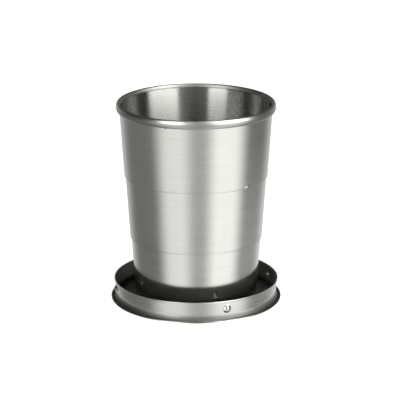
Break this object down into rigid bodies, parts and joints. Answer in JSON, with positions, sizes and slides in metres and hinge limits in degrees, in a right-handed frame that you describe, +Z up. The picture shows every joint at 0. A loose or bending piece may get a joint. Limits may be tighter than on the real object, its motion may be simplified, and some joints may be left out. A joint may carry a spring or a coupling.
{
  "type": "collapsible travel cup",
  "caption": "Collapsible travel cup of brushed stainless steel: tapered sleeves with a rolled rim slide down into a shallow round dish with a flanged foot.",
  "frame": {"origin": "centre of the foot's underside, on the cup's axis", "axes": "+Z up along the cup's axis, towards the rim; -Y is the front"},
  "size_m": [0.0716, 0.0716, 0.0844],
  "materials": {
    "sleeve_steel": "fine brushing around the sleeve, satin",
    "dish_steel": "fine brushing around the dish, satin, brighter than the sleeves"
  },
  "bodies": {
    "base": {"base_plate": "dish_steel", "base_collar": "dish_steel", "lower_cup": "sleeve_steel"},
    "middle_sleeve": {"middle_ring": "sleeve_steel"},
    "rim_sleeve": {"upper_ring": "sleeve_steel"}
  },
  "joints": [
    {"name": "middle_slide", "type": "slide", "parent": "base", "child": "middle_sleeve", "axis": [0, 0, 1], "range_m": [-0.02643, 0]},
    {"name": "rim_slide", "type": "slide", "parent": "middle_sleeve", "child": "rim_sleeve", "axis": [0, 0, 1], "range_m": [-0.0264, 0]}
  ]
}
